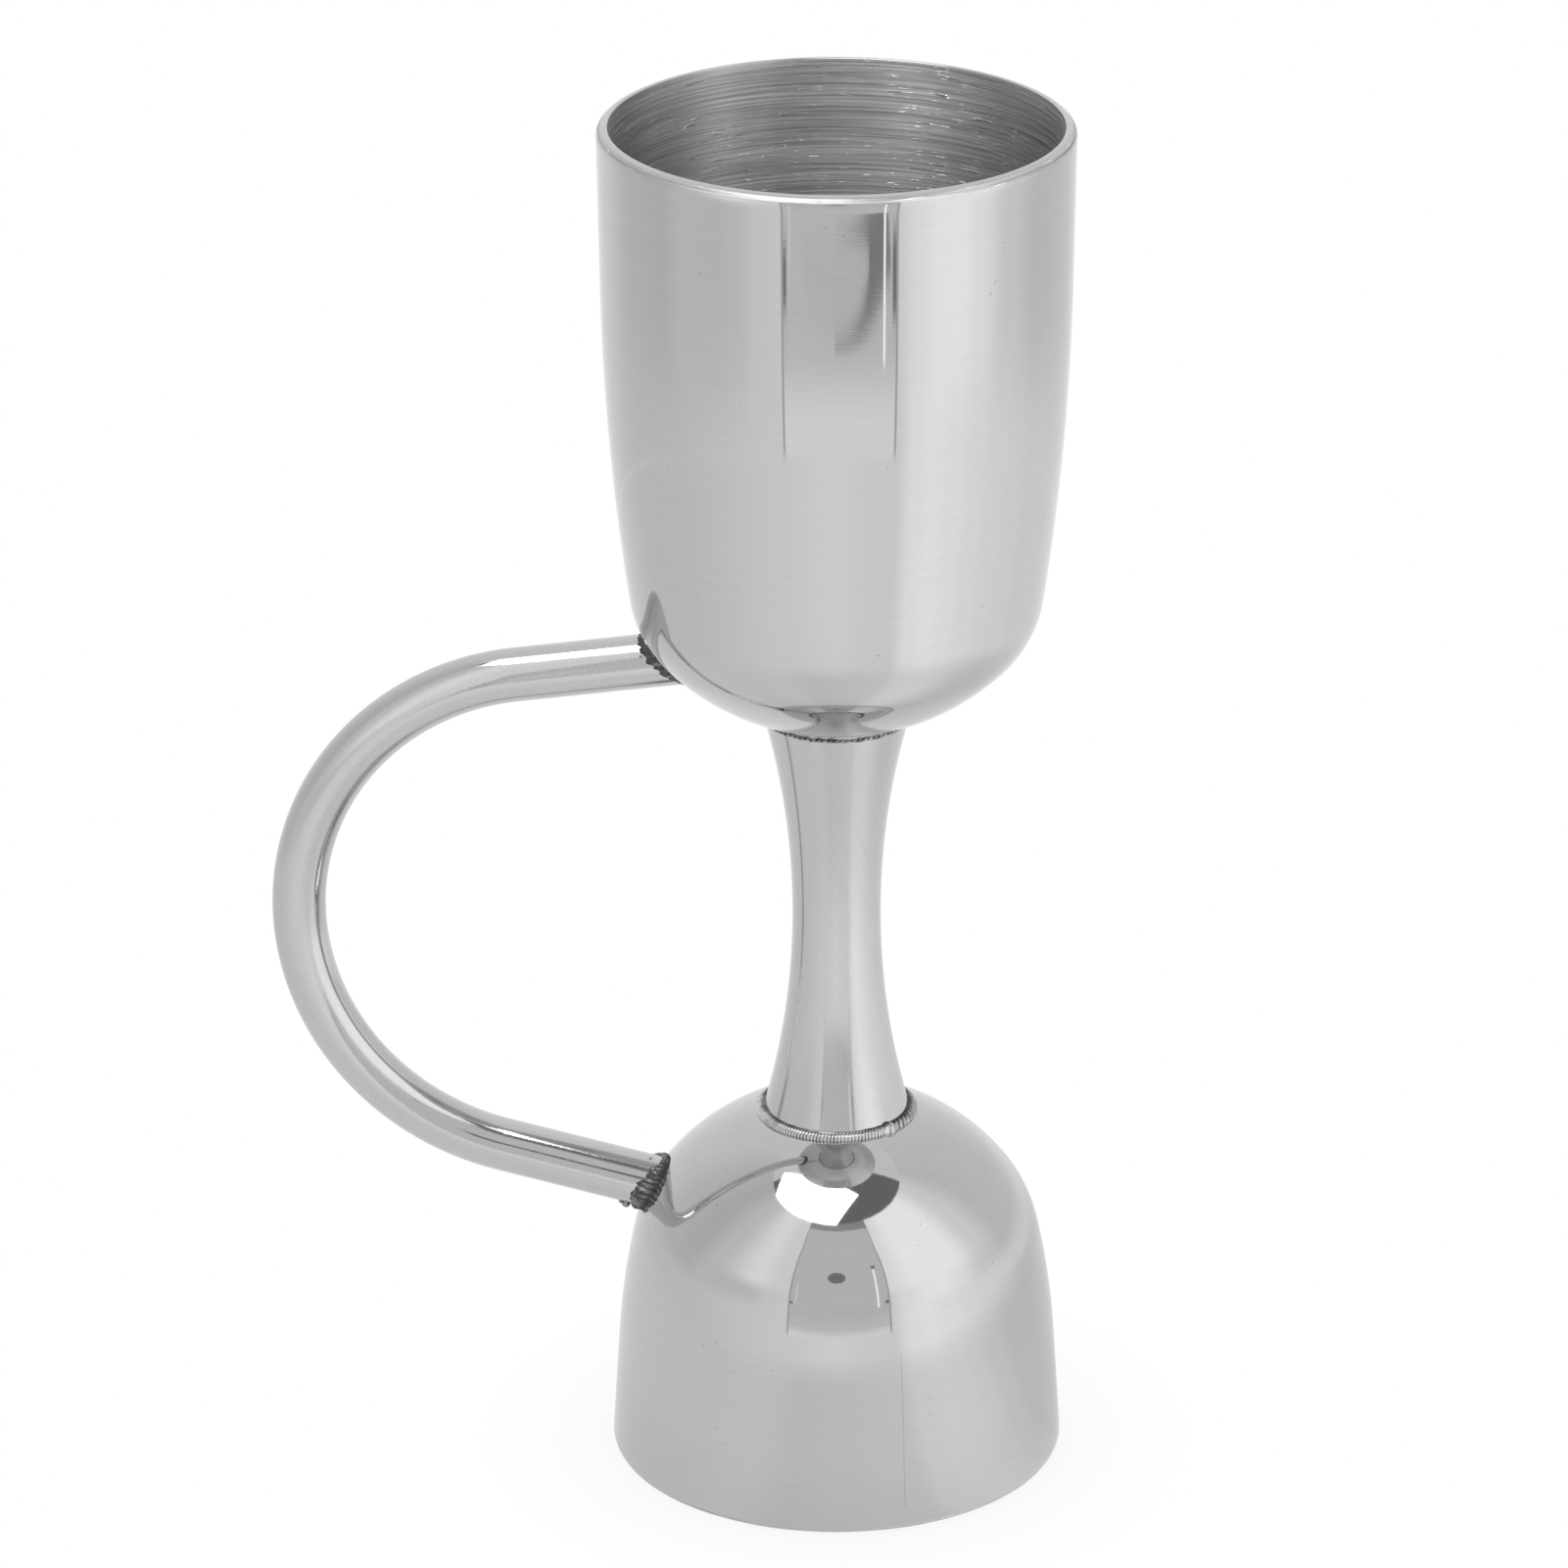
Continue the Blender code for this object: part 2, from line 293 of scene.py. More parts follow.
cupOutsideSettings = {
    "grey": 0.57,
    "roughness": 0.045,
    "anisotropic": 0.6,
    "lineSpacing": 0.12 * mm,
    "lineReach": 4.0,
    "lineDepth": 0.0006 * mm,
    "waveSize": 6 * mm,
    "waveDepth": 0.004 * mm,
    "greySwing": 0.012,
    "pitSize": 0.5 * mm,
    "pitPeaks": (0.75, 0.775),
    "fieldShare": 0.12,  # a pit's size over that of the fields they gather in
    "fieldEdge": (0.54, 0.6),
    "pitGrey": 0.42,
    "scratchTurn": 17.5,  # degrees round from the camera's side, on the small cup's wall
    "scratchWidth": 0.005,  # share of the radius
    "scratchLean": 0.12,
    "scratchStrength": 0.7,
    "scratchHeights": (2 * mm, 18 * mm),
    "scratchFade": 1 * mm,
    "scratchSide": 0.1,  # keeps it off the far side of the axis
}
cupInsideSettings = {
    "grey": 0.62,
    "roughness": 0.42,
    "anisotropic": 0.8,
    "lineSpacing": 0.15 * mm,
    "lineReach": 1.5,
    "lineDepth": 0.003 * mm,
    "lineGreys": (0.36, 0.84),
    "dashSpacing": 0.12 * mm,
    "dashReach": 9.0,
    "dashDepth": 0.035 * mm,
    "dashPeaks": (0.68, 0.74),
    # painted glint: how much lighter the dashes are painted
    "paintedGlintGrey": 0.3,
    "dashRoughness": 0.12,
    "patchSpacing": 6 * mm,  # the dashes gather in patches
    "patchReach": 2.5,
    "patchEdge": (0.42, 0.55),
    "brightestPaintedLight": 1.5,  # the ramp holds the painted light as shares of this
    "paintedLightRamp": [  # painted light and shade standing in for the tent's reflections: how light the steel is painted, by degrees round from the side away from the camera
        (-180, 1.0), (-95, 0.86), (-72, 0.72), (-52, 0.96), (-32, 1.29), (-22, 1.05), (-14, 0.95),
        (5, 1.02), (19, 1.22), (33, 1.12), (50, 0.92), (72, 0.78), (95, 0.86), (180, 1.0),
    ],
}


def cupProfile(shape, rimRadius):
    # (radius, depth under the rim, angle of the outward normal) from the rim to the middle of the bottom
    taper = math.radians(shape["taper"])
    length = shape["taperLength"]
    steps = cupSettings["taperSteps"]
    depths = [length * i / steps for i in range(steps)]
    points = [(rimRadius - depth * math.tan(taper), depth, taper) for depth in depths]
    radius = shape["barrelRadius"]
    barrelEnd = math.asin(math.sin(taper) + shape["barrelLength"] / radius)
    barrelTop = rimRadius - length * math.tan(taper)
    centre = (barrelTop - radius * math.cos(taper), length - radius * math.sin(taper))
    points += arc(centre, radius, taper, barrelEnd, cupSettings["barrelSteps"])
    inset = shape["cornerRadius"] - radius
    centre = (centre[0] - inset * math.cos(barrelEnd), centre[1] - inset * math.sin(barrelEnd))
    end = math.radians(shape["cornerEnd"])
    points += arc(centre, shape["cornerRadius"], barrelEnd, end, cupSettings["cornerSteps"])[1:]
    growth = centre[0] / math.cos(end)
    centre = (0, centre[1] - growth * math.sin(end))
    points += arc(centre, shape["cornerRadius"] + growth, end, math.pi / 2, cupSettings["bottomSteps"])[1:]
    return points


def outsideRadius(profile, depth):
    # the cup's outer radius at a depth under its rim
    for (r0, d0, _), (r1, d1, _) in zip(profile, profile[1:]):
        if d0 <= depth <= d1:
            return r0 + (r1 - r0) * (depth - d0) / (d1 - d0)
    return profile[0][0] if depth < 0 else 0.0


def rimRadiusOf(cup, edge, rimZ):
    # the radius of an edge that runs round the rim's plane, 0 for any other edge
    a, b = (cup.data.vertices[i].co for i in edge.vertices)
    if max(abs(a.z - rimZ), abs(b.z - rimZ)) > cupSettings["level"]:
        return 0
    radii = [math.hypot(p.x - axisX, p.y) for p in (a, b)]
    return radii[0] if abs(radii[0] - radii[1]) < cupSettings["round"] else 0


def roundLip(cup, rimZ, wallMiddle, outer):
    # rounds the rim's outer or inner edge
    makeActive(cup)
    editWith("EDGE", "DESELECT")
    bpy.ops.object.mode_set(mode="OBJECT")
    for edge in cup.data.edges:
        radius = rimRadiusOf(cup, edge, rimZ)
        edge.select = radius > wallMiddle if outer else 0 < radius < wallMiddle
    bpy.ops.object.mode_set(mode="EDIT")
    offset = cupSettings["outerLip" if outer else "innerLip"]
    segments = cupSettings["lipSegments"]
    bpy.ops.mesh.bevel(offset=offset, offset_type="OFFSET", segments=segments, profile=0.5)
    bpy.ops.object.mode_set(mode="OBJECT")


def isInside(face, rimZ, side):
    # whether a cup's face belongs to its inside
    away = Vector((face.center.x - axisX, face.center.y, 0))
    outward = face.normal.dot(away.normalized()) if away.length > cupSettings["nearAxis"] else 0
    towardMouth = -side * face.normal.z
    under = side * (face.center.z - rimZ) > cupSettings["innerLip"]
    return under and (outward < -cupSettings["facing"] or towardMouth > cupSettings["facing"])


def makeCup(name, profile, rimZ, side, node, outside, inside):
    # side is -1 where the cup's bottom is below its rim, 1 where it is above
    rings = [(r, rimZ + side * d) for r, d, _ in profile[:-1]]
    tip = (cupSettings["tip"], rimZ + side * profile[-1][1])
    cup = turnedShell(name, rings + [tip], cupSettings["segments"], True)
    thicken(cup, cupSettings["wall"])
    wallMiddle = profile[0][0] - cupSettings["wall"] / 2
    roundLip(cup, rimZ, wallMiddle, True)
    roundLip(cup, rimZ, wallMiddle, False)
    dress(cup, node, "brushed_stainless", outside, inside)
    smooth(cup, cupSettings["smoothAngle"])
    for face in cup.data.polygons:
        face.material_index = 1 if isInside(face, rimZ, side) else 0


def cupOutsideSteel():
    s = cupOutsideSettings
    material, tree, shader = newSteel("cupOutsideSteel", s)
    place, away, height = axisPlace(tree)
    fine = ringLines(tree, away, height, s["lineSpacing"], s["lineReach"])
    wave = grainAt(tree, place, s["waveSize"], 1.0)
    normal = bumpFrom(tree, wave, s["waveDepth"])
    normal = bumpFrom(tree, fine, s["lineDepth"], normal)
    tree.links.new(normal, shader.inputs["Normal"])
    marks = maths(tree, "MAXIMUM", pits(tree, place), scratch(tree, away, height))
    marked = colourMix(tree, marks, swungGrey(tree, fine, s), colourOf(s["pitGrey"]))
    tree.links.new(marked, shader.inputs["Base Color"])
    upright(tree, shader)
    return material


def pits(tree, place):
    # few and small: the peaks of a fine noise, only where a broad noise is high
    s = cupOutsideSettings
    fine = grainAt(tree, place, s["pitSize"], 1.0)
    fields = noiseAt(tree, scaled(tree, place, s["fieldShare"] / s["pitSize"]), 1.0)
    peaks = mapped(tree, fine, *s["pitPeaks"], 0, 1)
    return maths(tree, "MULTIPLY", peaks, mapped(tree, fields, *s["fieldEdge"], 0, 1))


def scratch(tree, away, height):
    # one upright hairline on the small cup
    s = cupOutsideSettings
    turned = math.radians(-90 + studioTurn + s["scratchTurn"])
    across = vectorMaths(tree, "DOT_PRODUCT", away, (-math.sin(turned), math.cos(turned), 0), "Value")
    facing = vectorMaths(tree, "DOT_PRODUCT", away, (math.cos(turned), math.sin(turned), 0), "Value")
    leaning = maths(tree, "ADD", across, maths(tree, "MULTIPLY", height, s["scratchLean"]))
    line = mapped(tree, maths(tree, "ABSOLUTE", leaning), 0, s["scratchWidth"], s["scratchStrength"], 0)
    low, high = s["scratchHeights"]
    bottom = mapped(tree, height, low, low + s["scratchFade"], 0, 1)
    top = mapped(tree, height, high - s["scratchFade"], high, 1, 0)
    nearSide = mapped(tree, facing, 0, s["scratchSide"], 0, 1)
    for limit in (bottom, top, nearSide):
        line = maths(tree, "MULTIPLY", line, limit)
    return line


def cupInsideSteel():
    s = cupInsideSettings
    material, tree, shader = newSteel("cupInsideSteel", s)
    _, away, height = axisPlace(tree)
    lines = ringLines(tree, away, height, s["lineSpacing"], s["lineReach"], 3.0)
    dashes = ringLines(tree, away, height, s["dashSpacing"], s["dashReach"], 0.0)
    patches = ringLines(tree, away, height, s["patchSpacing"], s["patchReach"], 1.0)
    patches = mapped(tree, patches, *s["patchEdge"], 0, 1)
    dashes = maths(tree, "MULTIPLY", mapped(tree, dashes, *s["dashPeaks"], 0, 1), patches)
    normal = bumpFrom(tree, lines, s["lineDepth"])
    normal = bumpFrom(tree, dashes, s["dashDepth"], normal)
    tree.links.new(normal, shader.inputs["Normal"])
    # painted light: the inside is painted lighter and darker by its direction round the axis, the way the
    # tent's reflections fall
    parts = addNode(tree, "ShaderNodeSeparateXYZ", {0: turnedBy(tree, away, -turn)})
    angle = maths(tree, "ARCTAN2", parts.outputs[0], parts.outputs[1])
    share = mapped(tree, angle, -math.pi, math.pi, 0, 1)
    paintedLightFactor = maths(tree, "MULTIPLY", greyRamp(tree, share, s["paintedLightRamp"], s["brightestPaintedLight"]), s["brightestPaintedLight"])
    lined = maths(tree, "MULTIPLY", spread(tree, lines, *s["lineGreys"]), paintedLightFactor)
    # the dashes are tool marks in the bump and the roughness, and the grey added to them is a painted glint
    grey = maths(tree, "ADD", lined, maths(tree, "MULTIPLY", dashes, s["paintedGlintGrey"]))
    tree.links.new(grey, shader.inputs["Base Color"])
    roughness = mapped(tree, dashes, 0, 1, s["roughness"], s["dashRoughness"])
    tree.links.new(roughness, shader.inputs["Roughness"])
    upright(tree, shader)
    return material


largeRimZ, smallRimZ = largeHigh.z, smallLow.z
largeProfile = cupProfile(largeShape, (largeHigh.x - largeLow.x) / 2)
smallProfile = cupProfile(smallShape, (smallHigh.x - smallLow.x) / 2)
largeBottomZ = largeRimZ - largeProfile[-1][1]
smallBottomZ = smallRimZ + smallProfile[-1][1]
outsideSteel = cupOutsideSteel()
insideSteel = cupInsideSteel()
makeCup("largeCup", largeProfile, largeRimZ, -1, "large_cup", outsideSteel, insideSteel)
makeCup("smallCup", smallProfile, smallRimZ, 1, "small_cup", outsideSteel, insideSteel)
print("cups turned")


# stem
stemSettings = {
    "waistRadius": 4.1 * mm,
    "curveRadius": 74 * mm,
    "wall": 1 * mm,
    "segments": 128,
    "steps": 40,
    "sink": 1.3 * mm,  # how far its ends run on into the cups' bottoms
    "smoothAngle": 35,
}
stemSteelSettings = {
    "grey": 0.57,
    "roughness": 0.11,
    "anisotropic": 0.4,
    "strokeSpacing": 0.14 * mm,
    "strokeLength": 4 * mm,
    "twist": 120.0,  # radians per metre of height, which leans the strokes
    "strokeDepth": 0.0008 * mm,
    "greySwing": 0.014,
    "lineSpacing": 0.12 * mm,
    "lineReach": 5.0,
    "lineDepth": 0.0015 * mm,
}
stemMiddleZ = (smallBottomZ + largeBottomZ) / 2


def stemRadius(z):
    curve = stemSettings["curveRadius"]
    return stemSettings["waistRadius"] + curve - math.sqrt(curve**2 - (z - stemMiddleZ) ** 2)


def stemSteel():
    s = stemSteelSettings
    material, tree, shader = newSteel("stemSteel", s)
    _, away, height = axisPlace(tree)
    leaning = turnedBy(tree, away, maths(tree, "MULTIPLY", height, s["twist"]))
    reach = stemSettings["waistRadius"] / s["strokeSpacing"]
    strokes = ringLines(tree, leaning, height, s["strokeLength"], reach)
    fine = ringLines(tree, away, height, s["lineSpacing"], s["lineReach"])
    normal = bumpFrom(tree, strokes, s["strokeDepth"])
    normal = bumpFrom(tree, fine, s["lineDepth"], normal)
    tree.links.new(normal, shader.inputs["Normal"])
    tree.links.new(swungGrey(tree, strokes, s), shader.inputs["Base Color"])
    upright(tree, shader)
    return material


def makeStem():
    footZ = smallBottomZ - stemSettings["sink"]
    topZ = largeBottomZ + stemSettings["sink"]
    steps = stemSettings["steps"]
    heights = [topZ + (footZ - topZ) * i / steps for i in range(steps + 1)]
    stem = turnedShell("stem", [(stemRadius(z), z) for z in heights], stemSettings["segments"], False)
    thicken(stem, stemSettings["wall"])
    dress(stem, "stem_tube", "satin_stainless", stemSteel())
    smooth(stem, stemSettings["smoothAngle"])


makeStem()
print("stem drawn")


# handle
rodSettings = {
    "radius": 2.5 * mm,
    "upperSlope": -8.3,
    "lowerSlope": 13.1,
    "upperAim": 7.8 * mm,  # over the large cup's bottom, on the axis
    "lowerAim": 13.7 * mm,  # under the small cup's top, on the axis
    "armStart": 6 * mm,
    "segments": 72,
    "bendSteps": 72,
    "sink": 0.45 * mm,  # how far the arms' ends run into the cups' walls
    "coreSegments": 160,  # of the cup shapes that trim the arms
    "merge": 0.001 * mm,
    "smoothAngle": 35,
}
rodSteelSettings = {
    "grey": 0.58,
    "roughness": 0.07,
    "roughnessRange": (0.05, 0.11),
    "grainSize": 0.25 * mm,
    "grainDepth": 0.0032 * mm,
    "waveSize": 4 * mm,
    "waveDepth": 0.01 * mm,
    "greySwing": 0.02,
}


def rodLine():
    # each arm's aim on the cups' axis with its outward direction, and the bend's centre
    upper, lower = (math.radians(rodSettings[k]) for k in ("upperSlope", "lowerSlope"))
    aimTop = largeBottomZ + rodSettings["upperAim"]
    aimLow = smallBottomZ - rodSettings["lowerAim"]
    reach = axisX - rodLow.x - rodSettings["radius"]
    closing = math.tan(lower) - math.tan(upper)
    spread = 1 / math.cos(upper) + 1 / math.cos(lower) - closing
    radius = (aimTop - aimLow - closing * reach) / spread
    centreZ = aimLow + math.tan(lower) * (reach - radius) + radius / math.cos(lower)
    lines = [
        (Vector((axisX, 0, aim)), Vector((-math.cos(slope), 0, math.sin(slope))))
        for aim, slope in ((aimTop, upper), (aimLow, lower))
    ]
    return lines, Vector((axisX - reach + radius, 0, centreZ))


def cupCore(name, profile, rimZ, side, shrink):
    # the filled shape of a cup, a little smaller: it trims what runs into the cup
    shrunk = [(r - shrink * math.cos(a), d - shrink * math.sin(a)) for r, d, a in profile[:-1]]
    rings = [(r, rimZ + side * d) for r, d in shrunk]
    tip = (cupSettings["tip"], rimZ + side * (profile[-1][1] - shrink))
    core = turnedShell(name, rings + [tip], rodSettings["coreSegments"], True)
    editWith("EDGE", "DESELECT")
    bpy.ops.mesh.select_non_manifold()
    bpy.ops.mesh.edge_face_add()
    bpy.ops.mesh.select_all(action="SELECT")
    bpy.ops.mesh.normals_make_consistent(inside=False)
    bpy.ops.object.mode_set(mode="OBJECT")
    return core


def rodSteel():
    s = rodSteelSettings
    material, tree, shader = newSteel("rodSteel", s)
    place = addNode(tree, "ShaderNodeTexCoord").outputs["Object"]
    grain = grainAt(tree, place, s["grainSize"], 2.0)
    wave = grainAt(tree, place, s["waveSize"], 1.0)
    normal = bumpFrom(tree, wave, s["waveDepth"])
    normal = bumpFrom(tree, grain, s["grainDepth"], normal)
    tree.links.new(normal, shader.inputs["Normal"])
    tree.links.new(swungGrey(tree, grain, s), shader.inputs["Base Color"])
    tree.links.new(spread(tree, wave, *s["roughnessRange"]), shader.inputs["Roughness"])
    return material


def makeRod():
    (topAim, topWay), (lowAim, lowWay) = arms
    start = topAim + topWay * rodSettings["armStart"]
    deselectAll()
    bpy.ops.mesh.primitive_circle_add(
        vertices=rodSettings["segments"],
        radius=rodSettings["radius"],
        fill_type="NGON",
        location=start,
        rotation=topWay.to_track_quat("Z", "Y").to_euler(),
    )
    rod = named("handleRod")
    editWith("FACE")
    length = (bendCentre - start).dot(topWay)
    bpy.ops.mesh.extrude_region_move(TRANSFORM_OT_translate={"value": topWay * length})
    sweep = math.pi + math.radians(rodSettings["upperSlope"] - rodSettings["lowerSlope"])
    bpy.ops.mesh.spin(steps=rodSettings["bendSteps"], angle=sweep, center=bendCentre, axis=(0, 1, 0))
    length = (bendCentre - lowAim).dot(lowWay) - rodSettings["armStart"]
    bpy.ops.mesh.extrude_region_move(TRANSFORM_OT_translate={"value": -lowWay * length})
    bpy.ops.mesh.select_all(action="SELECT")
    bpy.ops.mesh.remove_doubles(threshold=rodSettings["merge"])
    bpy.ops.mesh.normals_make_consistent(inside=False)
    bpy.ops.object.mode_set(mode="OBJECT")
    for profile, rimZ, side in ((largeProfile, largeRimZ, -1), (smallProfile, smallRimZ, 1)):
        core = cupCore("cupCore", profile, rimZ, side, rodSettings["sink"])
        applyModifier(rod, "BOOLEAN", operation="DIFFERENCE", object=core, solver="EXACT")
        bpy.data.objects.remove(core, do_unlink=True)
    dress(rod, "handle", "polished_stainless", rodSteel())
    smooth(rod, rodSettings["smoothAngle"])


arms, bendCentre = rodLine()
makeRod()
print("handle bent")


# welds
weldSteelSettings = {
    "grey": 0.62,
    "roughness": 0.16,
    "burntAndShadedGrey": 0.07,  # grey of the oxide at the toes, and of the painted shade in the ripples' valleys and in the gap at the stem
    "burntRoughness": 0.45,
    "grainSize": 0.14 * mm,
    "grainDepth": 0.006 * mm,
    "grainShade": 0.15,
    "smoothAngle": 60,
}
# A bead is a ring round the stem, of radius major and sunk under the CAD bead's edge, or round the rod.
# It is wide across that and tall along it. Its ripples are depth deep and bent by chevron, and it is uneven
# by rough. burnAndShade is how dark its oxide is, valley how much painted shade darkens it between ripples,
# and steps how finely it is divided round and across. An arm's bead stands lift off the cup, is thin at its
# top and underside, and has drops of spatter, each given as degrees round the rod, distance from the cup
# and radius.
beadSettings = {
    "footWeld": {
        "major": 6.9 * mm, "wide": 0.7 * mm, "tall": 0.58 * mm, "ripples": 144, "depth": 0.15,
        "chevron": 2.4, "rough": 0.05, "burnAndShade": -0.05, "valley": 1.15, "steps": (1008, 20),
        "sunk": 0.12 * mm,
    },
    "topWeld": {
        "major": 6.7 * mm, "wide": 0.22 * mm, "tall": 0.17 * mm, "ripples": 80, "depth": 0.3,
        "chevron": 1.1, "rough": 0.6, "burnAndShade": 0.35, "valley": 1.1, "steps": (640, 16),
        "sunk": 0.06 * mm,
    },
    "upperArmWeld": {
        "wide": 0.36 * mm, "tall": 1.15 * mm, "ripples": 23, "depth": 0.06, "chevron": 1.1,
        "rough": 0.3, "lift": 0.6 * mm, "burnAndShade": 0.9, "valley": 0.4, "thin": 0.55, "steps": (480, 32),
        "drops": [(-150, 1.9 * mm, 0.14 * mm)],
    },
    "lowerArmWeld": {
        "wide": 0.85 * mm, "tall": 1.25 * mm, "ripples": 40, "depth": 0.05, "chevron": 2.4,
        "rough": 0.2, "lift": 0.3 * mm, "burnAndShade": 0.74, "valley": 0.6, "thin": 0.22, "steps": (480, 32),
        "drops": [
            (112, 1.35 * mm, 0.42 * mm), (118, 1.9 * mm, 0.2 * mm),
            (-128, 1.3 * mm, 0.2 * mm), (-100, 1.6 * mm, 0.13 * mm),
        ],
    },
}
lumpSettings = {
    "around": 9,  # radius of the circle that a bead's lumps are read from: more gives smaller lumps
    "burnAndShade": 0.4,
    "coarseBurn": 0.25,
}
footMarks = {  # (middle, half width) in degrees round from the camera's side, to its right
    "blob": (44, 5.2),
    "coarse": (58, 36),
    "melted": (-78, 50),
    "bare": (0, 42),  # where no painted shade of the gap shows at the stem
}
blobFullness = 0.28
toeMarks = {  # dark lines where a bead ends: (middle, half width) in degrees across it, and how dark; the stem's is painted shade of the gap there, the others oxide
    # painted shade: the gap between the foot's bead and the stem is painted as a dark line
    "stem": (92, 34, 1.0),
    "dome": (-48, 26, 0.7),
    "cup": (-60, 70, 0.5),
}
topToe = 0.2
dropSettings = {
    "segments": 24,
    "rings": 12,
    "burnAndShade": 0.55,
    "stand": 0.2,  # how far its middle stands off the rod, share of its radius
}
meetSettings = {
    "reach": 40 * mm,
    "halvings": 40,
}


def weldSteel():
    s = weldSteelSettings
    material, tree, shader = newSteel("weldSteel", s)
    place = addNode(tree, "ShaderNodeTexCoord").outputs["Object"]
    # painted shade: the attribute is oxide, with the ripples' valleys and the gap at the stem painted
    # darker
    burnAndShade = addNode(tree, "ShaderNodeAttribute", attribute_name="burnAndShade").outputs["Fac"]
    grain = grainAt(tree, place, s["grainSize"], 3.0)
    tree.links.new(bumpFrom(tree, grain, s["grainDepth"]), shader.inputs["Normal"])
    shade = maths(tree, "ADD", burnAndShade, spread(tree, grain, -s["grainShade"], s["grainShade"]))
    tree.links.new(greyMix(tree, shade, s["grey"], s["burntAndShadedGrey"]), shader.inputs["Base Color"])
    roughness = mapped(tree, shade, 0, 1, s["roughness"], s["burntRoughness"])
    tree.links.new(roughness, shader.inputs["Roughness"])
    return material


def hump(angle, middle, halfWidth):
    # 1 at the middle, 0 beyond the half width, all in degrees
    away = (angle - middle + 180) % 360 - 180
    return max(0.0, 1 - (away / halfWidth) ** 2) ** 2


def footTurn(around):
    # degrees round from the camera's side, to its right, of a place round a ring (0 to 1 turn)
    return 360 * around + 90 - studioTurn


def beadSurface(name, around, across):
    # how full the bead is at a place round it (0 to 1 turn) and across it, and how dark with oxide and with
    # painted shade between its ripples
    s = beadSettings[name]
    phase = math.pi * s["ripples"] * around
    bend = s["chevron"] * math.cos(across)
    ripple = abs(math.sin(phase + bend))
    circle = [way(math.tau * around) * lumpSettings["around"] for way in (math.cos, math.sin)]
    lump = noise.noise(Vector((*circle, across)))
    melt, coarse, blob = 0.0, 0.0, 0.0
    if name == "footWeld":
        melt, coarse, blob = (hump(footTurn(around), *footMarks[k]) for k in ("melted", "coarse", "blob"))
    ripple += coarse * (abs(math.sin(phase / 2 + bend)) - ripple)
    valley = (1 - ripple) ** 2 * (1 - melt) * (1 - blob)
    full = 1 - (1 + coarse) * s["depth"] * valley + s["rough"] * lump + blobFullness * blob
    # dark is oxide, but its valley part is painted shade between the ripples
    dark = s["burnAndShade"] + lumpSettings["coarseBurn"] * coarse + s["valley"] * valley
    return full, dark + lumpSettings["burnAndShade"] * lump


def toe(across, mark):
    middle, halfWidth, dark = toeMarks[mark]
    return dark * hump(math.degrees(across), middle, halfWidth)


def shapeBead(weld, name, centreOf, seamOf):
    # every vertex of the ring is set anew from its turn round the bead and its angle across it
    burnAndShade = weld.data.attributes.new("burnAndShade", "FLOAT", "POINT")
    s = beadSettings[name]
    for vertex in weld.data.vertices:
        around, across, outward, along, seam, size = centreOf(vertex.co)
        full, dark = beadSurface(name, around, across)
        wide, tall = s["wide"] * full * size, s["tall"] * full * size
        vertex.co = seam + outward * (math.cos(across) * wide) + along * (math.sin(across) * tall)
        burnAndShade.data[vertex.index].value = max(0.0, min(1.0, dark + seamOf(around, across)))


def ringSeam(around, across):
    # the dark lines where the foot's bead ends: painted shade of the gap at the stem, and oxide on the dome
    bare = hump(footTurn(around), *footMarks["bare"])
    return (1 - bare) * toe(across, "stem") + toe(across, "dome")


def spunRing(name, middle, way, side, radius, thickness, steps):
    # a small circle spun about the line that runs along way through the middle
    deselectAll()
    bpy.ops.mesh.primitive_circle_add(
        vertices=steps[1],
        radius=thickness,
        location=middle + side * radius,
        rotation=way.cross(side).to_track_quat("Z", "Y").to_euler(),
    )
    ring = named(name)
    editWith("VERT")
    bpy.ops.mesh.spin(steps=steps[0], angle=math.tau, center=middle, axis=way)
    bpy.ops.mesh.select_all(action="SELECT")
    bpy.ops.mesh.remove_doubles(threshold=0.0001 * mm)  # closes the last turn on the first
    bpy.ops.mesh.normals_make_consistent(inside=False)
    bpy.ops.object.mode_set(mode="OBJECT")
    return ring


def ringWeld(name, node, z, material, seam):
    s = beadSettings[name]
    centre, up = Vector((axisX, 0, z)), Vector((0, 0, 1))
    weld = spunRing(name, centre, up, Vector((1, 0, 0)), s["major"], s["wide"], s["steps"])

    def centreOf(co):
        flat = Vector((co.x - axisX, co.y, 0))
        outward = flat.normalized()
        around = math.atan2(co.y, co.x - axisX) / math.tau
        across = math.atan2(co.z - z, flat.length - s["major"])
        return around, across, outward, up, centre + outward * s["major"], 1.0

    shapeBead(weld, name, centreOf, seam)
    dress(weld, node, "weld_metal", material)
    smooth(weld, weldSteelSettings["smoothAngle"])


def meet(point, way, profile, rimZ, side):
    # how far along a line from inside the cup its outside lies
    low, high = 0.0, meetSettings["reach"]
    for _ in range(meetSettings["halvings"]):
        middle = (low + high) / 2
        p = point + way * middle
        inside = math.hypot(p.x - axisX, p.y) < outsideRadius(profile, side * (p.z - rimZ))
        low, high = (middle, high) if inside else (low, middle)
    return low


def addDrop(weld, place, radius):
    # a drop of spatter, joined into the weld
    deselectAll()
    segments, rings = dropSettings["segments"], dropSettings["rings"]
    bpy.ops.mesh.primitive_uv_sphere_add(segments=segments, ring_count=rings, radius=radius, location=place)
    drop = named("drop")
    burnAndShade = drop.data.attributes.new("burnAndShade", "FLOAT", "POINT")
    for item in burnAndShade.data:
        item.value = dropSettings["burnAndShade"]
    makeActive(weld)
    drop.select_set(True)
    bpy.ops.object.join()


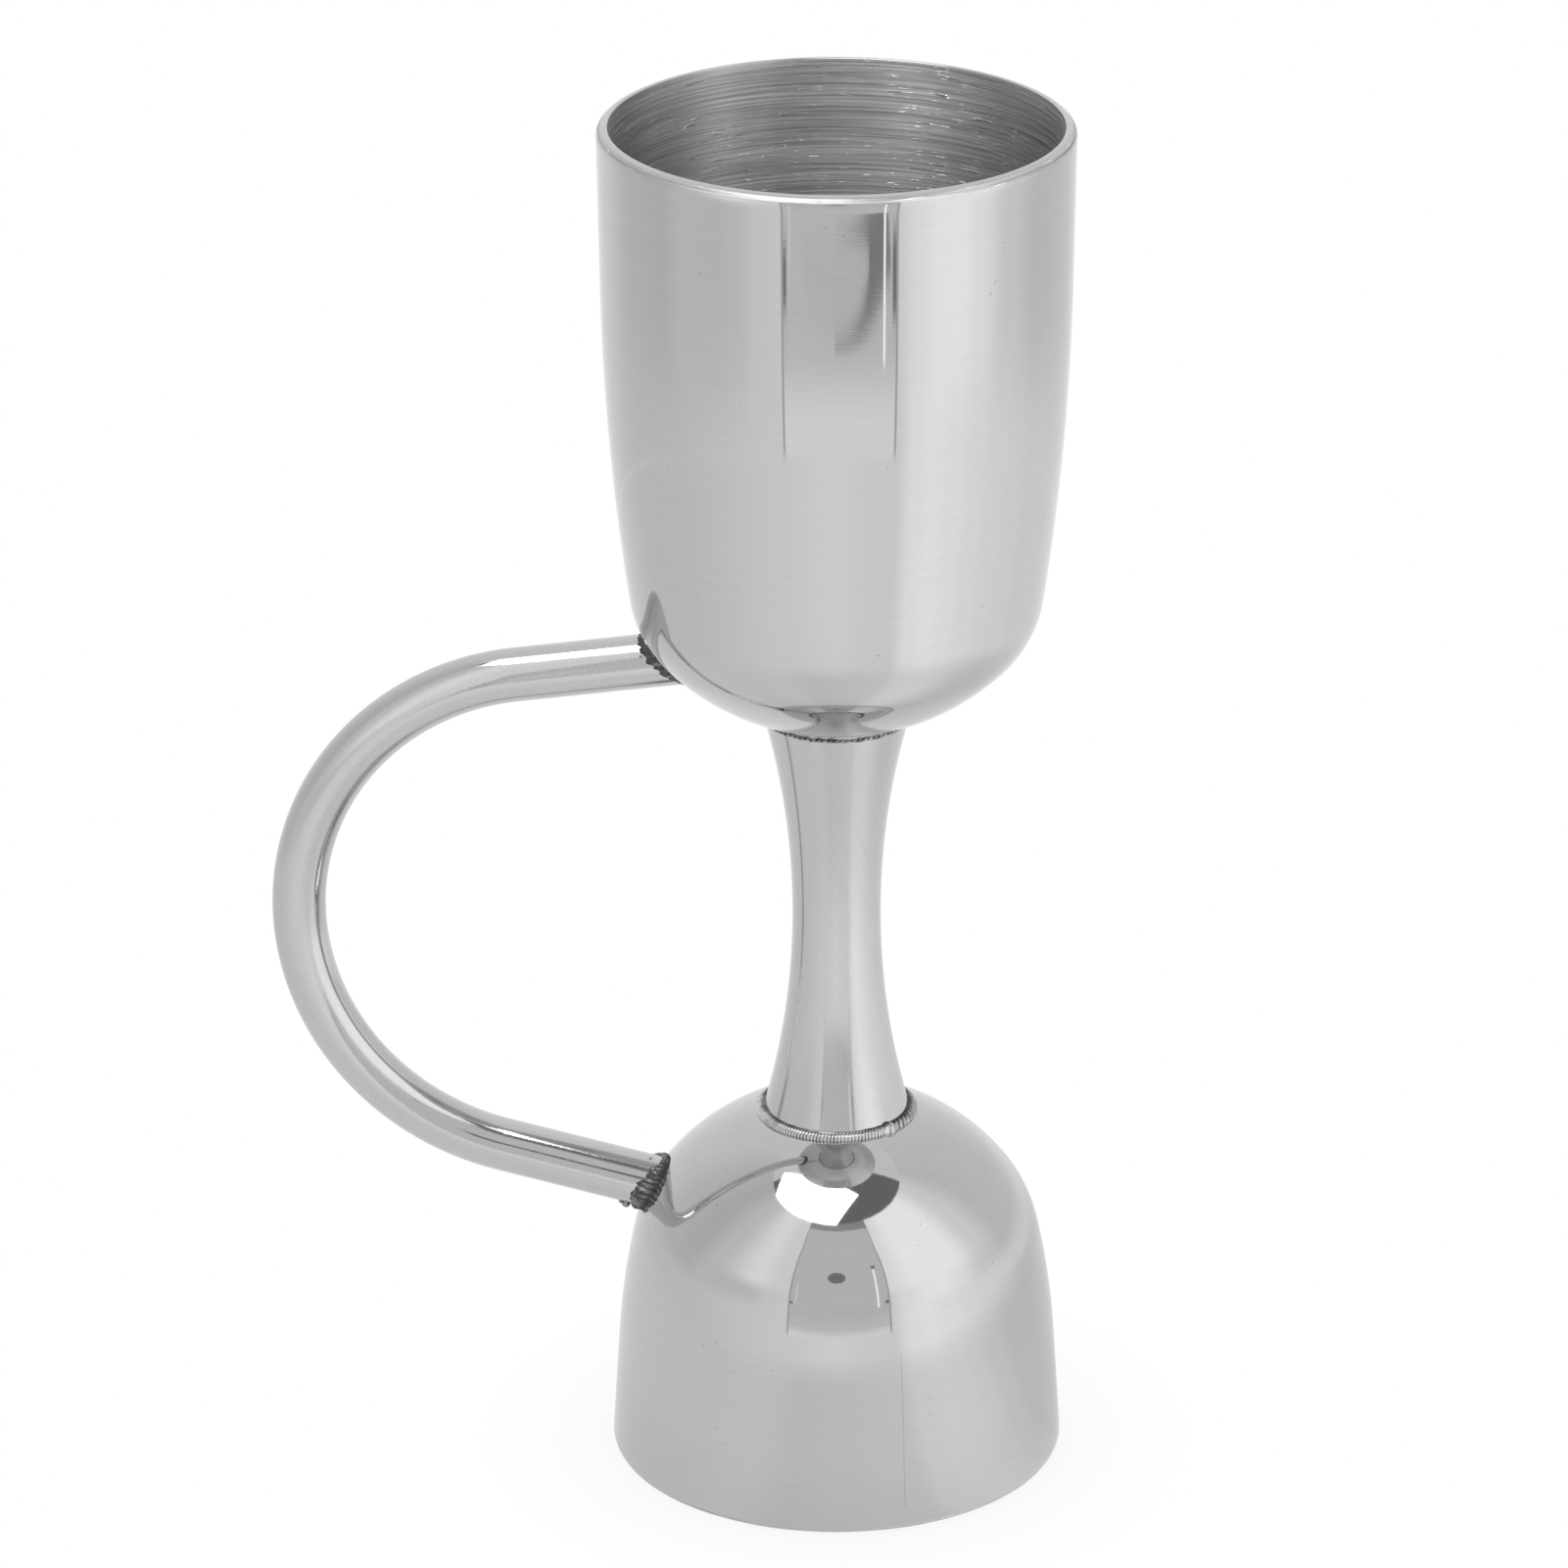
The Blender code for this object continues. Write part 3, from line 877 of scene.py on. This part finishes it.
def armWeld(name, node, arm, profile, rimZ, side, material):
    # a ring round the rod, each part of which is slid along the rod onto the cup
    s = beadSettings[name]
    aim, way = arm
    rodRadius = rodSettings["radius"]
    back = Vector((0, 1, 0))
    weld = spunRing(name, aim, way, back, rodRadius, s["wide"], s["steps"])
    sideways = way.cross(back)
    slides = {}

    def centreOf(co):
        offset = co - aim
        flat = offset - way * offset.dot(way)
        outward = flat.normalized()
        around = math.atan2(outward.dot(sideways), outward.y) / math.tau
        key = round(around, 5)
        if key not in slides:
            slides[key] = meet(aim + outward * rodRadius, way, profile, rimZ, side)
        seam = aim + outward * rodRadius + way * (slides[key] + s["lift"])
        across = math.atan2(offset.dot(way), flat.length - rodRadius)
        return around, across, outward, way, seam, s["thin"] + (1 - s["thin"]) * outward.y**2

    shapeBead(weld, name, centreOf, lambda around, across: toe(across, "cup"))
    for degrees, along, radius in s["drops"]:
        outward = back * math.cos(math.radians(degrees)) + sideways * math.sin(math.radians(degrees))
        slide = meet(aim + outward * rodRadius, way, profile, rimZ, side)
        standing = rodRadius + dropSettings["stand"] * radius
        addDrop(weld, aim + outward * standing + way * (slide + along), radius)
    dress(weld, node, "weld_metal", material)
    smooth(weld, weldSteelSettings["smoothAngle"])


beadSteel = weldSteel()
footZ = footLow.z - beadSettings["footWeld"]["sunk"]
collarZ = collarHigh.z - beadSettings["topWeld"]["sunk"]
ringWeld("footWeld", "stem_foot_weld", footZ, beadSteel, ringSeam)
ringWeld("topWeld", "stem_top_weld", collarZ, beadSteel, lambda around, across: topToe)
armWeld("upperArmWeld", "handle_upper_weld", arms[0], largeProfile, largeRimZ, -1, beadSteel)
armWeld("lowerArmWeld", "handle_lower_weld", arms[1], smallProfile, smallRimZ, 1, beadSteel)
print("welds laid")


# light tent, floor and camera
studioSettings = {  # in metres and degrees, but the lens and the sensor in millimetres
    "lens": 174.3,
    "sensor": 36,
    "distance": 0.64675,
    "height": 0.33189,
    "pitch": 22.3,
    "shift": -0.03354,
    "clip": (0.01, 20),
    "floorSize": 6,
    "floorDrop": 0.05 * mm,
    "shadeReach": 0.014,  # how near the object the floor is a little darker
    "shadeFrom": 0.4,
    "shadeGrey": 0.93,
    "shadeEnds": (0.05, 0.08),  # the tent's foot darkens nothing beyond these
}
tentSettings = {  # in metres and degrees round from the camera's side, to its right
    "radius": 0.24,
    "height": 0.48,
    "slit": (-25.5, 28.5),
    "hem": 0.9,  # degrees of darker cloth at each side of the slit
    "hemLap": 0.1,
    "wallGlow": 1.5,
    "wallRamp": [
        (-180, 0.93), (-140, 0.85), (-110, 0.72), (-90, 0.66), (-70, 0.80), (-45, 1.12), (-30, 1.0),
        (30, 1.15), (45, 1.32), (70, 1.32), (90, 0.98), (110, 0.78), (135, 0.80), (180, 0.93),
    ],
    "footRamp": [
        (-180, 0.93), (-140, 0.85), (-110, 0.72), (-90, 0.69), (-78, 0.77), (-57, 0.76), (-47, 0.80),
        (-37, 0.91), (-26, 0.95), (28, 1.0), (38, 1.18), (50, 1.30), (60, 1.31), (70, 1.2), (88, 0.93),
        (110, 0.78), (135, 0.80), (180, 0.93),
    ],
    "farRamp": [
        (-180, 0.9), (-112, 0.79), (-83, 0.81), (-71, 0.84), (-60, 0.87), (-47, 0.91), (-39, 0.94),
        (-28, 0.96), (0, 1.04), (16, 0.99), (28, 0.98), (38, 1.2), (48, 1.26), (60, 1.2), (72, 1.13),
        (84, 1.07), (98, 1.02), (115, 0.95), (138, 0.9), (180, 0.9),
    ],
    "nearRamp": [
        (-180, 0.86), (-110, 0.84), (-60, 0.84), (-33, 0.87), (-15, 0.82), (2, 0.84), (20, 0.87),
        (28, 0.89), (38, 1.0), (50, 1.025), (60, 1.01), (68, 0.97), (80, 0.89), (93, 0.81), (110, 0.78),
        (180, 0.8),
    ],
    "kerbHeights": (0.0, 0.045),  # between these the far floor's glow turns into the wall's foot
    "footHeights": (0.05, 0.10),  # between these the wall's foot turns into the wall
    "floorReach": (0.075, 0.15),  # between these the near floor turns into the far floor
    "contactReach": (0.021, 0.045),  # between these the floor comes out of the cup's own shade
    "contactShade": 0.93,
    "wallSides": 720,
    "cardSides": 1440,
    "floorSides": 180,
    "roundSides": 64,
    "floorDrop": 0.3 * mm,
    "tableDrop": 0.6 * mm,
    "tableGlows": (1.04, 0.78),  # beside the tent and away from it
    "tableReach": (0.26, 0.34),
    "tableSize": 3.0,
    "softboxGlow": 4.0,
    "softboxSize": (0.30, 0.265),
    "softboxPlace": (-0.114, -0.134, 0.47),
    "softboxTurn": -28,
    "lintelBottom": 0.41,
}
slitLeft, slitRight = tentSettings["slit"]
hem, hemLap = tentSettings["hem"], tentSettings["hemLap"]
lintelBottom, tentTop = tentSettings["lintelBottom"], tentSettings["height"]
curvedCards = [  # on the tent's wall: name, glow, angles, heights, share of the wall's radius
    ("lintel", 0.38, (slitLeft, slitRight), (lintelBottom, tentTop), 0.999),
    ("leftHem", 0.55, (slitLeft - hemLap, slitLeft + hem), (0, lintelBottom), 0.998),
    ("rightHem", 0.55, (slitRight - hem, slitRight + hemLap), (0, lintelBottom), 0.998),
    ("leftClip", 0.25, (-24.5, -22.9), (0.039, 0.047), 0.997),
    ("rightClip", 0.25, (25.7, 27.4), (0.038, 0.049), 0.997),
    ("rightTape", 1.5, (21.6, 22.4), (0.03, 0.17), 0.996),
    ("leftTape", 1.05, (-21.8, -21.3), (0.045, 0.11), 0.996),
    ("tapeEnd", 0.25, (21, 23.4), (0.165, 0.18), 0.995),
]
flatCards = [  # name, glow, size, place in the tent, tilt
    ("frontPanel", 0.74, (1.4, 0.8), (0, -0.5, 0.4), 90),
    ("roomCeiling", 0.2, (4, 4), (0, 0, 0.9), 0),
    ("tentRoof", 0.85, (0.6, 0.25), (0, 0.155, tentTop), 0),
    ("slitRoof", 0.74, (0.5, 0.21), (0, -0.346, 0.455), 0),
    ("tray", 0.3, (0.135, 0.045), (0.064, -0.297, 0.0203), 0),
]
roundCards = [  # name, glow, half sizes, place in the tent, tilt
    ("lens", 0.25, (0.045, 0.045), (0, -0.49, 0.268), 90),
    ("bowl", 0.74, (0.084, 0.0195), (-0.004, -0.297, 0.0208), 0),
]


def tentPlace(x, y, z):
    # a place given from the axis, x to the camera's right and y away from it
    c, s = math.cos(turn), math.sin(turn)
    return (axisX + x * c - y * s, x * s + y * c, smallRimZ + z)


def glow(name, strength):
    material = bpy.data.materials.new(name)
    material.use_nodes = True
    tree = material.node_tree
    tree.nodes.clear()
    shade = addNode(tree, "ShaderNodeEmission", {"Strength": strength})
    addNode(tree, "ShaderNodeOutputMaterial", {"Surface": shade.outputs[0]})
    return material, tree, shade


def rampGlow(name, strength, stops, *layers):
    # a glow that changes with the direction from the axis, each layer (stops, shareOf) laid over the last
    material, tree, shade = glow(name, strength)
    place = addNode(tree, "ShaderNodeTexCoord").outputs["Object"]
    parts = addNode(tree, "ShaderNodeSeparateXYZ", {0: place})
    angle = maths(tree, "ARCTAN2", parts.outputs[0], maths(tree, "MULTIPLY", parts.outputs[1], -1))
    turnShare = mapped(tree, angle, -math.pi, math.pi, 0, 1)
    colour = greyRamp(tree, turnShare, stops, strength)
    for layerStops, shareOf in layers:
        over = greyRamp(tree, turnShare, layerStops, strength)
        colour = colourMix(tree, shareOf(tree, place), colour, over)
    tree.links.new(colour, shade.inputs[0])
    return material, tree, shade


def heightShare(limits):
    # gives a function of a place on the tent's wall: 0 at the lower limit, 1 at the upper
    def share(tree, place):
        low, high = (z - tentSettings["height"] / 2 for z in limits)
        height = addNode(tree, "ShaderNodeSeparateXYZ", {0: place}).outputs[2]
        return mapped(tree, height, low, high, 0, 1, "SMOOTHSTEP")
    return share


def tentFloorGlow():
    t = tentSettings
    farLayer = (t["farRamp"], lambda tree, place: reachShare(tree, place, t["floorReach"]))
    material, tree, shade = rampGlow("tentFloorCloth", t["wallGlow"], t["nearRamp"], farLayer)
    place = addNode(tree, "ShaderNodeTexCoord").outputs["Object"]
    clear = reachShare(tree, place, t["contactReach"])
    strength = mapped(tree, clear, 0, 1, t["contactShade"] * t["wallGlow"], t["wallGlow"])
    tree.links.new(strength, shade.inputs[1])
    return material


def reachShare(tree, place, limits):
    # how far out from a staged piece's own middle a place is, from 0 at the lower limit to 1 at the upper
    reach = vectorMaths(tree, "LENGTH", vectorMaths(tree, "MULTIPLY", place, (1, 1, 0)), output="Value")
    return mapped(tree, reach, *limits, 0, 1, "SMOOTHSTEP")


def tableGlow():
    near, far = tentSettings["tableGlows"]
    material, tree, shade = glow("table", near)
    place = addNode(tree, "ShaderNodeTexCoord").outputs["Object"]
    share = reachShare(tree, scaled(tree, place, tentSettings["tableSize"]), tentSettings["tableReach"])
    tree.links.new(greyMix(tree, share, 1, far / near), shade.inputs[0])
    return material


def stageIt(name, material):
    # the primitive just added becomes a card that the camera can't see
    card = bpy.context.object
    card.name = name
    card.visible_camera = False
    card.data.materials.append(material)
    return card


def keepBetween(card, fromAngle, toAngle):
    # deletes the faces of a tent cylinder whose direction is outside the two angles
    makeActive(card)
    editWith("FACE", "DESELECT")
    bpy.ops.object.mode_set(mode="OBJECT")
    for face in card.data.polygons:
        angle = math.degrees(math.atan2(face.center.x, -face.center.y))
        face.select = (angle - fromAngle) % 360 > toAngle - fromAngle
    bpy.ops.object.mode_set(mode="EDIT")
    bpy.ops.mesh.delete(type="FACE")
    bpy.ops.object.mode_set(mode="OBJECT")


def curvedCard(name, strength, angles, heights, radius):
    deselectAll()
    bpy.ops.mesh.primitive_cylinder_add(
        vertices=tentSettings["cardSides"],
        radius=radius,
        depth=heights[1] - heights[0],
        end_fill_type="NOTHING",
        location=tentPlace(0, 0, (heights[0] + heights[1]) / 2),
        rotation=(0, 0, turn),
    )
    keepBetween(stageIt(name, glow(name, strength)[0]), *angles)


def makeTentWall():
    t = tentSettings
    deselectAll()
    bpy.ops.mesh.primitive_cylinder_add(
        vertices=t["wallSides"],
        radius=t["radius"],
        depth=t["height"],
        end_fill_type="NOTHING",
        location=tentPlace(0, 0, t["height"] / 2),
        rotation=(0, 0, turn),
    )
    layers = (t["footRamp"], heightShare(t["kerbHeights"])), (t["wallRamp"], heightShare(t["footHeights"]))
    wall = stageIt("tentWall", rampGlow("tentCloth", t["wallGlow"], t["farRamp"], *layers)[0])
    keepBetween(wall, slitRight, 360 + slitLeft)
    for name, strength, angles, heights, share in curvedCards:
        curvedCard(name, strength, angles, heights, t["radius"] * share)


def makeTentGround():
    t = tentSettings
    deselectAll()
    bpy.ops.mesh.primitive_circle_add(
        vertices=t["floorSides"],
        radius=t["radius"],
        fill_type="NGON",
        location=tentPlace(0, 0, -t["floorDrop"]),
        rotation=(0, 0, turn),
    )
    stageIt("tentFloor", tentFloorGlow())
    deselectAll()
    place = tentPlace(0, 0, -t["tableDrop"])
    bpy.ops.mesh.primitive_plane_add(size=1, location=place, rotation=(0, 0, turn))
    bpy.context.object.scale = (t["tableSize"], t["tableSize"], 1)
    stageIt("table", tableGlow())


def makeCards():
    for name, strength, size, place, tilt in flatCards:
        deselectAll()
        rotation = (math.radians(tilt), 0, turn)
        bpy.ops.mesh.primitive_plane_add(size=1, location=tentPlace(*place), rotation=rotation)
        bpy.context.object.scale = (*size, 1)
        stageIt(name, glow(name, strength)[0])
    for name, strength, size, place, tilt in roundCards:
        deselectAll()
        bpy.ops.mesh.primitive_circle_add(
            vertices=tentSettings["roundSides"],
            radius=1,
            fill_type="NGON",
            location=tentPlace(*place),
            rotation=(math.radians(tilt), 0, turn),
        )
        bpy.context.object.scale = (*size, 1)
        stageIt(name, glow(name, strength)[0])


def makeSoftbox():
    t = tentSettings
    softbox = bpy.data.lights.new("softbox", "AREA")
    softbox.shape = "RECTANGLE"
    softbox.size, softbox.size_y = t["softboxSize"]
    softbox.energy = t["softboxGlow"] * math.pi * softbox.size * softbox.size_y
    light = bpy.data.objects.new("softbox", softbox)
    light.location = tentPlace(*t["softboxPlace"])
    light.rotation_euler = (0, 0, turn + math.radians(t["softboxTurn"]))
    light.visible_camera = False
    scene.collection.objects.link(light)


def makeFloor():
    # seen by the camera only: the tent's own floor is what the steel mirrors
    s = studioSettings
    deselectAll()
    bpy.ops.mesh.primitive_plane_add(size=s["floorSize"], location=(axisX, 0, smallRimZ - s["floorDrop"]))
    floor = bpy.context.object
    floor.name = "floor"
    material, tree, shade = glow("paleFloor", 1.0)
    near = addNode(tree, "ShaderNodeAmbientOcclusion", {"Distance": s["shadeReach"]}, samples=8)
    place = addNode(tree, "ShaderNodeTexCoord").outputs["Object"]
    beyond = reachShare(tree, place, s["shadeEnds"])
    clear = maths(tree, "MAXIMUM", mapped(tree, near.outputs["AO"], s["shadeFrom"], 1, 0, 1), beyond)
    tree.links.new(greyMix(tree, clear, s["shadeGrey"], 1.0), shade.inputs[0])
    floor.data.materials.append(material)
    for flag in ("visible_glossy", "visible_diffuse", "visible_transmission", "visible_shadow"):
        setattr(floor, flag, False)


def makeWorld():
    world = bpy.data.worlds.new("paleRoom")
    scene.world = world
    world.use_nodes = True
    background = world.node_tree.nodes["Background"]
    background.inputs["Color"].default_value = (1, 1, 1, 1)
    background.inputs["Strength"].default_value = 1.0


def makeCamera():
    s = studioSettings
    camera = bpy.data.objects.new("camera", bpy.data.cameras.new("camera"))
    scene.collection.objects.link(camera)
    camera.location = tentPlace(0, -s["distance"], s["height"])
    camera.rotation_euler = (math.radians(90 - s["pitch"]), 0, turn)
    camera.data.lens = s["lens"]
    camera.data.sensor_width = s["sensor"]
    camera.data.shift_x = s["shift"]
    camera.data.clip_start, camera.data.clip_end = s["clip"]
    scene.camera = camera


makeTentWall()
makeTentGround()
makeCards()
makeSoftbox()
makeFloor()
makeWorld()
makeCamera()
scene.view_settings.view_transform = "Standard"
print("studio set")
